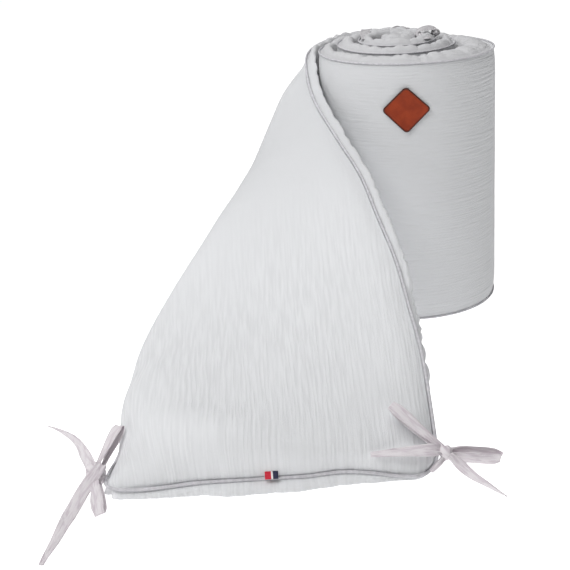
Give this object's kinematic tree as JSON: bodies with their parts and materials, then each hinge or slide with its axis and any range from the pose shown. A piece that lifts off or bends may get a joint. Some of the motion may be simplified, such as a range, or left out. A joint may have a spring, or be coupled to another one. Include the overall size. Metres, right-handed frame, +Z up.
{
  "type": "crib bumper",
  "caption": "Padded crinkled-gauze crib bumper with piped seams and ribbon ties, wound into a standing roll with its loose end draped to the floor.",
  "frame": {"origin": "middle of the bounding box in plan, at the surface that the roll stands on", "axes": "+Z up along the roll's axis, +Y from the draped end towards the roll, +X to the right of someone who faces the draped end"},
  "size_m": [0.5042, 0.6474, 0.3265],
  "materials": {
    "crinkled_gauze": "matt crinkled cotton double gauze, pale grey",
    "piping_cloth": "matt plain-weave cotton piping, grey",
    "tie_cotton": "matt soft cotton ribbon, pinkish off-white",
    "brown_leather": "smooth reddish-brown leather with a pressed border",
    "woven_tape": "woven tape with red, white and dark blue stripes"
  },
  "bodies": {
    "root": {"bumper_pad": "crinkled_gauze", "piping": "piping_cloth", "leather_patch": "brown_leather", "seam_tag": "woven_tape", "tie_bow_left": "tie_cotton", "tie_bow_right": "tie_cotton", "tie_bow_core": "tie_cotton", "tie_bow_back": "tie_cotton", "tie_strap_back": "tie_cotton"}
  },
  "joints": []
}
